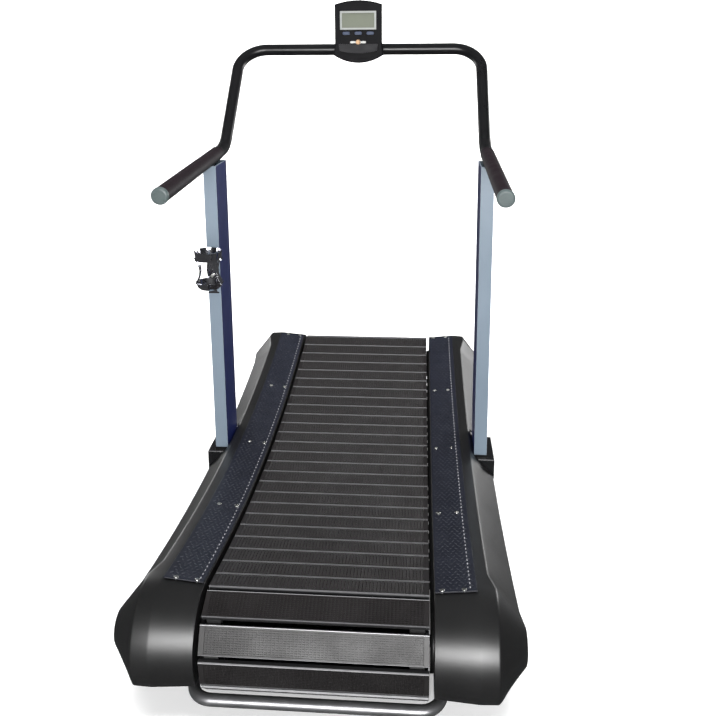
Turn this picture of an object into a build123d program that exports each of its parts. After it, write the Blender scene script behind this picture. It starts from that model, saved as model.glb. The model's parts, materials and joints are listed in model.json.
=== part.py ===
from build123d import *
import os
from math import asin, cos, degrees, radians, sin

# Curved manual treadmill. Millimetres, X to the right, Y to the front, Z up.
# The origin is on the floor, under the middle of the machine.
os.makedirs("parts", exist_ok=True)

# Driving dimensions -------------------------------------------------------
deck_low = 177          # tread surface at the middle of the running deck
drum_y = 768            # drum shafts, in front of and behind the middle
drum_z = 136
tread_radius = 112      # tread surface on the drums
pitch_radius = 96       # pitch line of the drive belts on the drums
return_low = 38         # pitch line of the hanging return run, at its lowest
target_pitch = 62       # wished distance from slat to slat
slat_phase = 0          # where the first slat sits, in pitches from mid deck

belt_half = 240         # half width of the slat belt
cover_inner = 250       # inner side of the side covers
cover_bottom = 83
rail_inner = 256        # inner face of the steel side rails
rail_thick = 6

post_inner = 383
post_outer = 421
post_depth = 130
bracket_top = 157
collar_height = 11
post_top = 1057

rail_tube = 19          # radius of the handrail tube
grip_rear = (410, -430, 1050)
grip_bend = (410, 230, 1082)
bar_y = 520
bar_z = 1382


def finish(name, block):
    """Name a finished piece and write its file."""
    block.part.label = name
    export_step(block.part, f"parts/{name}.step")


# Curves of the belt loop ---------------------------------------------------
# The deck is an arc that meets both drums smoothly, and so is the return run.
deck_rise = deck_low - drum_z
deck_radius = (drum_y**2 + deck_rise**2 - tread_radius**2) / (2 * (tread_radius - deck_rise))
deck_centre = deck_low + deck_radius
deck_angle = degrees(asin(drum_y / (deck_radius + tread_radius)))
tread_depth = tread_radius - pitch_radius
deck_pitch_radius = deck_radius + tread_depth

return_drop = drum_z - return_low
return_radius = (drum_y**2 + return_drop**2 - pitch_radius**2) / (2 * (return_drop - pitch_radius))
return_centre = return_low + return_radius
return_angle = degrees(asin(drum_y / (return_radius - pitch_radius)))

deck_axis = Axis((0, 0, deck_centre), (1, 0, 0))
rear_drum_axis = Axis((0, -drum_y, drum_z), (1, 0, 0))

half_deck = deck_pitch_radius * radians(deck_angle)
drum_wrap = pitch_radius * radians(180 + deck_angle - return_angle)
return_run = 2 * return_radius * radians(return_angle)
loop_length = 2 * half_deck + 2 * drum_wrap + return_run
slat_count = round(loop_length / target_pitch)
slat_pitch = loop_length / slat_count

# Each run of the loop: length, arc centre, radius, start angle from straight
# down towards the rear, and turn, which is 1 on the hollow deck and -1 elsewhere.
runs = [
    (half_deck, 0, deck_centre, deck_pitch_radius, 0, 1),
    (drum_wrap, -drum_y, drum_z, pitch_radius, 180 + deck_angle, -1),
    (return_run, 0, return_centre, return_radius, return_angle, -1),
    (drum_wrap, drum_y, drum_z, pitch_radius, -return_angle, -1),
    (half_deck, 0, deck_centre, deck_pitch_radius, -deck_angle, 1),
]


def belt_place(travel):
    """Plane on the pitch line, with z out of the loop; travel starts at mid deck, rearwards."""
    travel = travel % loop_length
    for length, centre_y, centre_z, radius, start, turn in runs:
        if travel <= length:
            break
        travel -= length
    angle = radians(start) + turn * travel / radius
    place = (0, centre_y - radius * sin(angle), centre_z - radius * cos(angle))
    return Plane(origin=place, x_dir=(1, 0, 0), z_dir=(0, turn * sin(angle), turn * cos(angle)))


def belt_outline(offset):
    """Closed outline of the loop in the YZ plane, offset outwards from the pitch line."""
    for length, centre_y, centre_z, radius, start, turn in runs:
        arc_radius = radius - turn * offset
        points = []
        for share in (0, 0.5, 1):
            angle = radians(start) + turn * share * length / radius
            points.append((centre_y - arc_radius * sin(angle), centre_z - arc_radius * cos(angle)))
        ThreePointArc(*points)


def deck_plane(angle, height=0):
    """Cross section plane of the deck; its y axis points out of the deck."""
    turn = radians(angle)
    place = (0, (deck_radius - height) * sin(turn), deck_centre - (deck_radius - height) * cos(turn))
    return Plane(origin=place, x_dir=(1, 0, 0), z_dir=(0, -cos(turn), -sin(turn)))


def mirrored(points, side):
    """The same X and height points for the right (1) or the left (-1) side."""
    return [(side * x, y) for x, y in points]


# Slat belt -----------------------------------------------------------------
belt_gauge = 8          # thickness of a drive belt
drive_belt_width = 30
drive_belt_x = 215
bar_height = 8
bar_seat = belt_gauge / 2 + 0.2
lip = 1.3
bar_width = 58.4
tread_height = tread_depth - bar_seat - bar_height
slat_places = [belt_place((index + slat_phase) * slat_pitch) for index in range(slat_count)]

with BuildPart(mode=Mode.PRIVATE) as slat_bar:
    with BuildSketch(Plane.YZ.offset(-belt_half)):
        with Locations((0, bar_seat)):
            Rectangle(bar_width, bar_height, align=(Align.CENTER, Align.MIN))
            with Locations((-15, 0), (15, 0)):
                Rectangle(20, bar_height - 3, align=(Align.CENTER, Align.MIN), mode=Mode.SUBTRACT)
        for edge in (-1, 1):
            with Locations((edge * (bar_width - lip) / 2, bar_seat + bar_height)):
                Rectangle(lip, tread_height - 0.6, align=(Align.CENTER, Align.MIN))
    extrude(amount=2 * belt_half)

with BuildPart(mode=Mode.PRIVATE) as slat_tread:
    with BuildSketch(Plane.YZ.offset(-belt_half)):
        with Locations((0, bar_seat + bar_height)):
            Rectangle(bar_width - 2 * lip, tread_height, align=(Align.CENTER, Align.MIN))
    extrude(amount=2 * belt_half)

with BuildPart() as slat_bars:
    with Locations(*slat_places):
        add(slat_bar.part)
finish("slat_bars", slat_bars)

with BuildPart() as slat_treads:
    with Locations(*slat_places):
        add(slat_tread.part)
finish("slat_treads", slat_treads)

for side, word in ((-1, "left"), (1, "right")):
    with BuildPart() as drive_belt:
        with BuildSketch(Plane.YZ.offset(side * drive_belt_x - drive_belt_width / 2)):
            with BuildLine():
                belt_outline(belt_gauge / 2)
            make_face()
            with BuildLine():
                belt_outline(-belt_gauge / 2)
            make_face(mode=Mode.SUBTRACT)
        extrude(amount=drive_belt_width)
    finish(f"{word}_drive_belt", drive_belt)

# Drums: a shaft with two pulleys at each end of the loop ---------------------
shaft_radius = 12.5
core_radius = 20
shaft_half = 292
pulley_radius = pitch_radius - belt_gauge / 2 - 0.3
pulley_width = 34

for end, centre in (("rear", -drum_y), ("front", drum_y)):
    drum_plane = Plane(origin=(0, centre, drum_z), x_dir=(0, 1, 0), z_dir=(1, 0, 0))
    with BuildPart() as shaft:
        with BuildSketch(drum_plane.offset(-shaft_half)):
            Circle(shaft_radius)
        extrude(amount=2 * shaft_half)
        with BuildSketch(drum_plane.offset(-belt_half)):
            Circle(core_radius)
        extrude(amount=2 * belt_half)
        chamfer(shaft.edges().filter_by(GeomType.CIRCLE).group_by(Axis.X)[0], 1.5)
        chamfer(shaft.edges().filter_by(GeomType.CIRCLE).group_by(Axis.X)[-1], 1.5)
    finish(f"{end}_drum_shaft", shaft)

    with BuildPart() as pulleys:
        for side in (-1, 1):
            hub_plane = drum_plane.offset(side * drive_belt_x - pulley_width / 2)
            with BuildSketch(hub_plane):
                Circle(pulley_radius)
                Circle(core_radius, mode=Mode.SUBTRACT)
                with PolarLocations(49, 5):
                    Circle(13, mode=Mode.SUBTRACT)
            extrude(amount=pulley_width)
    finish(f"{end}_pulleys", pulleys)

# Side rails, with the shaft holes and the curved upper edge -------------------
rail_drop = 20          # upper edge of the rail, below the tread surface
rail_end = 842
rail_bottom = 70
rail_hole = 17
shaft_points = [(-drum_y, drum_z), (drum_y, drum_z)]
rail_radius = deck_radius + rail_drop
rail_arc_end = (rail_radius * sin(radians(deck_angle)), deck_centre - rail_radius * cos(radians(deck_angle)))

for side, word in ((-1, "left"), (1, "right")):
    inner = rail_inner if side > 0 else -rail_inner - rail_thick
    with BuildPart() as side_rail:
        with BuildSketch(Plane.YZ.offset(inner)):
            with BuildLine():
                front_top = rail_arc_end
                rear_top = (-rail_arc_end[0], rail_arc_end[1])
                ThreePointArc(rear_top, (0, deck_low - rail_drop), front_top)
                Polyline(
                    front_top, (rail_end, 200), (rail_end, 115), (rail_end - 60, rail_bottom),
                    (60 - rail_end, rail_bottom), (-rail_end, 115), (-rail_end, 200), rear_top,
                )
            make_face()
            with Locations(*shaft_points):
                Circle(rail_hole, mode=Mode.SUBTRACT)
        extrude(amount=rail_thick)
    finish(f"{word}_side_rail", side_rail)

# Base runners: two square-cut tubes under the rails ---------------------------
runner_inner = 250
runner_width = 50
runner_low = 30
runner_half = 700
runner_wall = 3
foot_stem = 6
foot_y = 640
foot_gap = 0.05

for side, word in ((-1, "left"), (1, "right")):
    middle = side * (runner_inner + runner_width / 2)
    with BuildPart() as runner:
        with BuildSketch(Plane.XZ.offset(-runner_half)):
            with Locations((middle, (runner_low + rail_bottom) / 2)):
                Rectangle(runner_width, rail_bottom - runner_low)
                Rectangle(
                    runner_width - 2 * runner_wall, rail_bottom - runner_low - 2 * runner_wall,
                    mode=Mode.SUBTRACT,
                )
        extrude(amount=2 * runner_half)
        with Locations((middle, -foot_y, runner_low), (middle, foot_y, runner_low)):
            Cylinder(foot_stem + foot_gap, 4 * runner_wall, mode=Mode.SUBTRACT)
    finish(f"{word}_base_runner", runner)

# Cross members between the rails -------------------------------------------
cross_low = 80
cross_height = 28
cross_depth = 44
with BuildPart() as cross_members:
    for place in (-470, 0, 470):
        with BuildSketch(Plane.YZ.offset(-rail_inner)):
            with Locations((place, cross_low + cross_height / 2)):
                Rectangle(cross_depth, cross_height)
                Rectangle(cross_depth - 5, cross_height - 5, mode=Mode.SUBTRACT)
        extrude(amount=2 * rail_inner)
finish("cross_members", cross_members)

# Guide bearings under the drive belts, on studs in the side rails --------------
bearing_radius = 14
bearing_width = 10
stud_radius = 5
bearing_x = 213
bearing_step = 48
bearing_side = 14       # bearings on each side of the middle one
bearing_arc = deck_pitch_radius + belt_gauge / 2 + bearing_radius + 0.2
bearing_points = []
for index in range(-bearing_side, bearing_side + 1):
    turn = index * bearing_step / bearing_arc
    bearing_points.append((bearing_arc * sin(turn), deck_centre - bearing_arc * cos(turn)))

for side, word in ((-1, "left"), (1, "right")):
    with BuildPart() as bearings:
        with BuildSketch(Plane.YZ.offset(side * bearing_x - bearing_width / 2)):
            with Locations(*bearing_points):
                Circle(bearing_radius)
                Circle(stud_radius, mode=Mode.SUBTRACT)
        extrude(amount=bearing_width)
    finish(f"{word}_guide_bearings", bearings)

    with BuildPart() as studs:
        outer = rail_inner
        inner = bearing_x + bearing_width / 2
        with BuildSketch(Plane.YZ.offset(side * inner)):
            with Locations(*bearing_points):
                Circle(stud_radius + 2.5)
        extrude(amount=side * (outer - inner))
        with BuildSketch(Plane.YZ.offset(side * inner)):
            with Locations(*bearing_points):
                Circle(stud_radius)
        extrude(amount=-side * bearing_width)
        with BuildSketch(Plane.YZ.offset(side * (inner - bearing_width))):
            with Locations(*bearing_points):
                RegularPolygon(stud_radius + 3, 6)
        extrude(amount=-side * 4)
    finish(f"{word}_bearing_studs", studs)

# Flange bearings of the shafts, outside the rails ------------------------------
bearing_block = 26
with BuildPart() as shaft_bearings:
    for side in (-1, 1):
        with BuildSketch(Plane.YZ.offset(side * (rail_inner + rail_thick))):
            with Locations(*shaft_points):
                RectangleRounded(72, 72, 12)
                Circle(shaft_radius + 0.05, mode=Mode.SUBTRACT)
        extrude(amount=side * 10)
        with BuildSketch(Plane.YZ.offset(side * (rail_inner + rail_thick + 10))):
            with Locations(*shaft_points):
                Circle(30)
                Circle(shaft_radius + 0.05, mode=Mode.SUBTRACT)
        extrude(amount=side * (bearing_block - 10))
finish("shaft_bearings", shaft_bearings)

# Side covers: thin moulded shells that end in a rounded nose over each drum -----
cover_wall = 3
cover_top = [(cover_inner, 4), (344, 12), (370, 10), (442, -73)]
nose_top = [(cover_inner, 4), (344, 12), (383, 10), (448, -73)]
inner_skin = [(cover_inner + cover_wall, 1), (344, 9), (368, 7), (439, -74)]
nose_skin = [(cover_inner + cover_wall, 1), (344, 9), (381, 7), (445, -74)]
cover_depth = -230
room_depth = -235
inner_lip = -24
nose_lip = -50
nose_blend = 0.9
notch = (380, -12, 142)

plate_angle = 10.9
plate_thick = 2.5
plate_seat = 0.3
plate_edge = (252, 341)
screw_x = (267, 314)
screw_step = 385
screw_shank = 2.2
cover_slope = (cover_top[1][1] - cover_top[0][1]) / (cover_top[1][0] - cover_top[0][0])


def plate_height(x):
    """Height of the footplate's underside over the tread surface."""
    return cover_top[0][1] + (x - cover_inner) * cover_slope + plate_seat


def screw_places(side):
    """Planes square to the footplate at its ten screws."""
    places = []
    for index in range(-2, 3):
        for x in screw_x:
            height = plate_height(x) + plate_thick
            turn = index * screw_step / deck_radius
            reach = deck_radius - height
            centre = (side * x, reach * sin(turn), deck_centre - reach * cos(turn))
            lean = side * cover_slope
            along = (1, -lean * sin(turn), lean * cos(turn))
            outward = (-lean, -sin(turn), cos(turn))
            places.append(Plane(origin=centre, x_dir=along, z_dir=outward))
    return places


def cover_form(over_deck, over_nose, nose_ring, side):
    """Swept form of a cover: hollow arc over the deck, short blend, half turn over each drum."""
    straight_angle = deck_angle - nose_blend
    lean = radians(deck_angle)
    nose_plane = Plane(origin=(0, -drum_y, drum_z), x_dir=(1, 0, 0), z_dir=(0, -cos(lean), sin(lean)))
    with BuildPart(mode=Mode.PRIVATE) as form:
        with BuildSketch(deck_plane(-straight_angle)):
            Polygon(*mirrored(over_deck, side), align=None)
        revolve(axis=deck_axis, revolution_arc=straight_angle)
        with BuildSketch(deck_plane(-deck_angle)):
            Polygon(*mirrored(over_nose, side), align=None)
        with BuildSketch(deck_plane(-straight_angle)):
            Polygon(*mirrored(over_deck, side), align=None)
        loft(ruled=True)
        with BuildSketch(nose_plane):
            Polygon(*mirrored(nose_ring, side), align=None)
        revolve(axis=rear_drum_axis, revolution_arc=180)
        mirror(about=Plane.XZ)
    return form.part


def ring_points(points):
    """Heights over the tread surface turned into distances from the drum's shaft."""
    return [(x, tread_radius + height) for x, height in points]


for side, word in ((-1, "left"), (1, "right")):
    skin = cover_form(
        cover_top + [(442, cover_depth), (cover_inner, cover_depth)],
        nose_top + [(448, cover_depth), (cover_inner, cover_depth)],
        [(cover_inner, 0)] + ring_points(nose_top) + [(448, 0)],
        side,
    )
    open_x = cover_inner - 3
    lip_x = cover_inner + cover_wall
    room = cover_form(
        [(open_x, inner_lip), (lip_x, inner_lip)] + inner_skin + [(439, room_depth), (open_x, room_depth)],
        [(open_x, nose_lip), (lip_x, nose_lip)] + nose_skin + [(445, room_depth), (open_x, room_depth)],
        [(open_x, 0)] + ring_points([(open_x, nose_lip), (lip_x, nose_lip)] + nose_skin) + [(445, 0)],
        side,
    )
    with BuildPart() as cover:
        add(skin)
        add(room, mode=Mode.SUBTRACT)
        with Locations((side * notch[0], (notch[1] + notch[2]) / 2, cover_bottom)):
            edge = Align.MIN if side > 0 else Align.MAX
            Box(90, notch[2] - notch[1], 300, align=(edge, Align.CENTER, Align.MIN), mode=Mode.SUBTRACT)
        with Locations(*screw_places(side)):
            Cylinder(screw_shank, 30, mode=Mode.SUBTRACT)
        split(bisect_by=Plane.XY.offset(cover_bottom), keep=Keep.TOP)
    finish(f"{word}_side_cover", cover)

    with BuildPart() as footplate:
        with BuildSketch(deck_plane(-plate_angle)):
            with BuildLine():
                under = [(x, plate_height(x)) for x in plate_edge]
                over = [(x, plate_height(x) + plate_thick) for x in reversed(plate_edge)]
                Polyline(mirrored(under + over, side), close=True)
            make_face()
        revolve(axis=deck_axis, revolution_arc=2 * plate_angle)
        with Locations(*screw_places(side)):
            Cylinder(screw_shank, 20, mode=Mode.SUBTRACT)
    finish(f"{word}_footplate", footplate)

# Footplate screws: round heads with a cross slot -------------------------------
head_radius = 5.5
head_height = 2.6
with BuildPart(mode=Mode.PRIVATE) as plate_screw:
    with Locations((0, 0, 0.15)):
        Cylinder(head_radius, head_height, align=(Align.CENTER, Align.CENTER, Align.MIN))
    fillet(plate_screw.edges().sort_by(Axis.Z)[-1], head_height * 0.8)
    with Locations((0, 0, 0.15)):
        Cylinder(screw_shank - 0.1, 12, align=(Align.CENTER, Align.CENTER, Align.MAX))
    with Locations((0, 0, head_height)):
        Box(5, 0.9, 2.4, mode=Mode.SUBTRACT)
        Box(0.9, 5, 2.4, mode=Mode.SUBTRACT)
with BuildPart() as footplate_screws:
    with Locations(*(screw_places(-1) + screw_places(1))):
        add(plate_screw.part)
finish("footplate_screws", footplate_screws)

# Posts with their brackets, collars and bolts -----------------------------------
bracket_outer = 445
bracket_front = post_depth + 10
bracket_rear = -10
plate_gauge = 6
bracket_low = 95
post_wall = 2.5
grip_skin = 2

grip_start = Vector(*grip_rear)
grip_end = Vector(*grip_bend)

for side, word in ((-1, "left"), (1, "right")):
    middle = side * (post_inner + post_outer) / 2
    with BuildPart(mode=Mode.PRIVATE) as arm_room:
        with BuildLine():
            Line((side * grip_start.X, grip_start.Y, grip_start.Z), (side * grip_end.X, grip_end.Y, grip_end.Z))
        with BuildSketch(Plane(origin=(side * grip_start.X, grip_start.Y, grip_start.Z),
                               z_dir=(0, grip_end.Y - grip_start.Y, grip_end.Z - grip_start.Z))):
            Circle(rail_tube + grip_skin)
        sweep()

    with BuildPart() as post:
        with BuildSketch(Plane.XY.offset(bracket_top)):
            with Locations((middle, post_depth / 2)):
                Rectangle(post_outer - post_inner, post_depth)
                Rectangle(
                    post_outer - post_inner - 2 * post_wall, post_depth - 2 * post_wall, mode=Mode.SUBTRACT
                )
        extrude(amount=post_top - bracket_top)
        add(arm_room.part, mode=Mode.SUBTRACT)
    finish(f"{word}_post", post)

    with BuildPart() as bracket:
        width = bracket_outer - rail_inner - rail_thick
        centre = side * (bracket_outer + rail_inner + rail_thick) / 2
        depth = bracket_front - bracket_rear
        with Locations((centre, (bracket_front + bracket_rear) / 2, bracket_top)):
            Box(width, depth, plate_gauge, align=(Align.CENTER, Align.CENTER, Align.MAX))
        for wall in (bracket_rear + plate_gauge / 2, bracket_front - plate_gauge / 2):
            with Locations((centre, wall, bracket_top)):
                Box(width, plate_gauge, bracket_top - bracket_low, align=(Align.CENTER, Align.CENTER, Align.MAX))
        for wall in (rail_inner + rail_thick + plate_gauge / 2, bracket_outer - plate_gauge / 2):
            with Locations((side * wall, (bracket_front + bracket_rear) / 2, bracket_top)):
                Box(plate_gauge, depth, bracket_top - bracket_low, align=(Align.CENTER, Align.CENTER, Align.MAX))
    finish(f"{word}_post_bracket", bracket)

with BuildPart() as post_collars:
    for side in (-1, 1):
        with BuildSketch(Plane.XY.offset(bracket_top)):
            with Locations((side * (post_inner + post_outer) / 2, post_depth / 2)):
                Rectangle(post_outer - post_inner + 3, post_depth + 3)
                Rectangle(post_outer - post_inner, post_depth, mode=Mode.SUBTRACT)
        extrude(amount=collar_height)
finish("post_collars", post_collars)

with BuildPart() as bracket_bolts:
    for side in (-1, 1):
        with BuildSketch(Plane.YZ.offset(side * rail_inner)):
            with Locations((24, 122), (120, 122)):
                RegularPolygon(8, 6)
        extrude(amount=-side * 5)
finish("bracket_bolts", bracket_bolts)

# Levelling feet, screwed up into the runners ------------------------------------
foot_height = 12
foot_radius = 26
for end, end_y in (("rear", -foot_y), ("front", foot_y)):
    for side, word in ((-1, "left"), (1, "right")):
        middle = side * (runner_inner + runner_width / 2)
        with BuildPart() as foot:
            with Locations((middle, end_y, 0)):
                Cylinder(foot_radius, foot_height, align=(Align.CENTER, Align.CENTER, Align.MIN))
            fillet(foot.edges().sort_by(Axis.Z)[-1], 5)
            with BuildSketch(Plane.XY.offset(foot_height)):
                with Locations((middle, end_y)):
                    Circle(foot_stem)
            extrude(amount=50)
            with BuildSketch(Plane.XY.offset(foot_height)):
                with Locations((middle, end_y)):
                    RegularPolygon(11, 6)
            extrude(amount=8)
        finish(f"{end}_{word}_foot", foot)

# Transport wheels at the front end of the runners ---------------------------------
wheel_y = 752
wheel_z = 34
wheel_radius = 27
wheel_width = 28
axle_radius = 5
ear_gap = 30
ear_thick = 4
with BuildPart() as wheel_brackets:
    for side in (-1, 1):
        middle = side * (runner_inner + runner_width / 2)
        for offset_x in (-(ear_gap + ear_thick) / 2, (ear_gap + ear_thick) / 2):
            with BuildSketch(Plane.YZ.offset(middle + offset_x - ear_thick / 2)):
                with BuildLine():
                    Polyline((runner_half, 34), (runner_half, 68), (wheel_y - 6, 62), (wheel_y + 12, 44),
                             (wheel_y + 12, 24), (wheel_y - 14, 22), close=True)
                make_face()
                with Locations((wheel_y, wheel_z)):
                    Circle(axle_radius, mode=Mode.SUBTRACT)
            extrude(amount=ear_thick)
finish("wheel_brackets", wheel_brackets)

with BuildPart() as wheel_axles:
    for side in (-1, 1):
        middle = side * (runner_inner + runner_width / 2)
        with BuildSketch(Plane.YZ.offset(middle - 23)):
            with Locations((wheel_y, wheel_z)):
                Circle(axle_radius)
        extrude(amount=46)
finish("wheel_axles", wheel_axles)

for side, word in ((-1, "left"), (1, "right")):
    middle = side * (runner_inner + runner_width / 2)
    with BuildPart() as wheel:
        with BuildSketch(Plane.YZ.offset(middle - wheel_width / 2)):
            with Locations((wheel_y, wheel_z)):
                Circle(wheel_radius)
                Circle(axle_radius + 0.05, mode=Mode.SUBTRACT)
        extrude(amount=wheel_width)
        rims = wheel.edges().filter_by(GeomType.CIRCLE).filter_by(lambda edge: edge.radius > wheel_radius - 1)
        fillet(rims, 4)
    finish(f"{word}_transport_wheel", wheel)

# Lift bar: a bent tube under the rear drum, held in the runners -------------------
lift_tube = 13
lift_y = -866
lift_z = 47
lift_x = 267
with BuildPart() as lift_bar:
    with BuildLine() as lift_path:
        FilletPolyline(
            (-lift_x, 30 - runner_half, lift_z), (-lift_x, lift_y, lift_z),
            (lift_x, lift_y, lift_z), (lift_x, 30 - runner_half, lift_z), radius=46,
        )
    with BuildSketch(Plane(origin=(-lift_x, 30 - runner_half, lift_z), z_dir=(0, -1, 0))):
        Circle(lift_tube)
        Circle(lift_tube - 2, mode=Mode.SUBTRACT)
    sweep()
finish("rear_lift_bar", lift_bar)

# Handrail: one bent tube, arms, risers and crossbar --------------------------------
bend_radius = 120
corner_radius = 92
right_side = [grip_rear, grip_bend, (410, bar_y, bar_z)]
left_side = [(-x, y, z) for x, y, z in reversed(right_side)]
arm_direction = (grip_end - grip_start).normalized()

with BuildPart() as handrail:
    with BuildLine():
        FilletPolyline(
            *(right_side + left_side), radius=[bend_radius, corner_radius, corner_radius, bend_radius]
        )
    with BuildSketch(Plane(origin=grip_start, z_dir=arm_direction)):
        Circle(rail_tube)
        Circle(rail_tube - 2, mode=Mode.SUBTRACT)
    sweep()
finish("handrail", handrail)

grip_length = 560
cap_radius = 22
for side, word in ((-1, "left"), (1, "right")):
    start = Vector(side * grip_start.X, grip_start.Y, grip_start.Z)
    with BuildPart() as grip:
        with BuildSketch(Plane(origin=start, z_dir=arm_direction)):
            Circle(rail_tube + grip_skin)
            Circle(rail_tube, mode=Mode.SUBTRACT)
        extrude(amount=grip_length)
    finish(f"{word}_grip", grip)

    with BuildPart() as end_cap:
        with BuildSketch(Plane(origin=start, z_dir=arm_direction)):
            Circle(cap_radius)
        extrude(amount=-10)
        fillet(end_cap.edges().sort_by(Axis.Y)[0], 6)
        with BuildSketch(Plane(origin=start, z_dir=arm_direction)):
            Circle(rail_tube - 2)
        extrude(amount=16)
    finish(f"{word}_end_cap", end_cap)

# Console: clamp on the crossbar, back and front housings, display and buttons -------
console_half = 78
console_low = bar_z - 44
console_shoulder = bar_z + 147
console_top = bar_z + 160
waist_z = bar_z + 25
back_y = bar_y - 26
front_y = back_y - 34
clamp_half = 26

with BuildPart() as clamp:
    with BuildSketch(Plane.YZ.offset(-clamp_half)):
        with Locations((bar_y, bar_z)):
            Circle(rail_tube + 6)
        with Locations((back_y, bar_z)):
            Rectangle(26, 2 * rail_tube + 6, align=(Align.MIN, Align.CENTER))
        with Locations((bar_y, bar_z)):
            Circle(rail_tube + 0.05, mode=Mode.SUBTRACT)
    extrude(amount=2 * clamp_half)
finish("console_clamp", clamp)


def console_outline(inset):
    """Closed front outline: arched top, straight sides, bowl-shaped bottom."""
    half = console_half - inset
    bowl = console_half + 5 - inset
    arch_left = (-half, console_shoulder - inset)
    arch_right = (half, console_shoulder - inset)
    ThreePointArc(arch_left, (0, console_top - inset), arch_right)
    Line(arch_right, (half, waist_z))
    Line((half, waist_z), (bowl, bar_z - 18 + inset))
    ThreePointArc((bowl, bar_z - 18 + inset), (0, console_low + inset), (-bowl, bar_z - 18 + inset))
    Line((-bowl, bar_z - 18 + inset), (-half, waist_z))
    Line((-half, waist_z), arch_left)


shell = 3
split_y = back_y - 12
with BuildPart() as console_back:
    with BuildSketch(Plane.XZ.offset(-back_y)):
        with BuildLine():
            console_outline(0)
        make_face()
    extrude(amount=back_y - split_y)
    with BuildSketch(Plane.XZ.offset(shell - back_y)):
        with BuildLine():
            console_outline(shell)
        make_face()
    extrude(amount=back_y - split_y, mode=Mode.SUBTRACT)
finish("console_back", console_back)

display_z = bar_z + 95
display_size = (120, 60)
button_z = bar_z + 53
button_x = 40
button_size = (24, 10)
tray_z = bar_z + 8
with BuildPart() as console_front:
    with BuildSketch(Plane.XZ.offset(-split_y)):
        with BuildLine():
            console_outline(0)
        make_face()
    extrude(amount=split_y - front_y)
    fillet(console_front.faces().sort_by(Axis.Y)[0].edges(), 4)
    with BuildSketch(Plane.XZ.offset(-split_y)):
        with BuildLine():
            console_outline(shell)
        make_face()
    extrude(amount=split_y - front_y - shell, mode=Mode.SUBTRACT)
    with BuildSketch(Plane.XZ.offset(-split_y)):
        with Locations((0, display_z)):
            Rectangle(*display_size)
        with Locations((-button_x, button_z), (0, button_z), (button_x, button_z)):
            RectangleRounded(button_size[0] + 0.8, button_size[1] + 0.8, 5)
        with Locations((0, tray_z + 16)):
            Circle(3.1)
    extrude(amount=split_y - front_y + 5, mode=Mode.SUBTRACT)
finish("console_front", console_front)

with BuildPart() as bezel:
    with BuildSketch(Plane.XZ.offset(-front_y - shell)):
        with Locations((0, display_z)):
            Rectangle(*display_size)
            Rectangle(display_size[0] - 12, display_size[1] - 12, mode=Mode.SUBTRACT)
    extrude(amount=shell + 2)
finish("display_bezel", bezel)

with BuildPart() as window:
    with BuildSketch(Plane.XZ.offset(-front_y - shell)):
        with Locations((0, display_z)):
            Rectangle(display_size[0] - 12, display_size[1] - 12)
    extrude(amount=2)
finish("display_window", window)

with BuildPart() as board:
    with Locations((0, front_y + 14, bar_z + 78)):
        Box(132, 1.6, 100)
finish("circuit_board", board)

for index, word in ((-1, "left"), (0, "middle"), (1, "right")):
    with BuildPart() as button:
        with BuildSketch(Plane.XZ.offset(-front_y - shell - 2)):
            with Locations((index * button_x, button_z)):
                RectangleRounded(button_size[0] + 4, button_size[1] + 4, 6)
        extrude(amount=1.8)
        with BuildSketch(Plane.XZ.offset(-front_y - shell - 2)):
            with Locations((index * button_x, button_z)):
                RectangleRounded(*button_size, 4.9)
        extrude(amount=shell + 4)
        fillet(button.faces().sort_by(Axis.Y)[0].edges(), 1)
    finish(f"{word}_button", button)

with BuildPart() as tray:
    with BuildSketch(Plane.XZ.offset(-front_y)):
        with BuildLine():
            Polyline((65, tray_z + 10), (-65, tray_z + 10), (-62, tray_z - 12))
            ThreePointArc((-62, tray_z - 12), (0, tray_z - 20), (62, tray_z - 12))
            Line((62, tray_z - 12), (65, tray_z + 10))
        make_face()
    extrude(amount=5)
finish("console_tray", tray)

with BuildPart() as wing_screw:
    with BuildSketch(Plane.XZ.offset(5.3 - front_y)):
        with Locations((0, tray_z + 16)):
            Circle(8)
    extrude(amount=9)
    with BuildSketch(Plane.XZ.offset(9 - front_y)):
        with Locations((0, tray_z + 19)):
            RectangleRounded(52, 7, 3.4)
    extrude(amount=3.5)
    with BuildSketch(Plane.XZ.offset(5.3 - front_y)):
        with Locations((0, tray_z + 16)):
            Circle(3)
    extrude(amount=-12)
finish("console_wing_screw", wing_screw)

with BuildPart() as battery_cover:
    with BuildSketch(Plane.XZ.offset(-back_y)):
        with Locations((0, bar_z + 90)):
            RectangleRounded(74, 46, 4)
    extrude(amount=-2)
finish("battery_cover", battery_cover)

with BuildPart() as batteries:
    for height in (bar_z + 80, bar_z + 100):
        with BuildSketch(Plane.YZ.offset(-25)):
            with Locations((back_y - 11, height)):
                Circle(7)
        extrude(amount=50)
finish("batteries", batteries)

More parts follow.
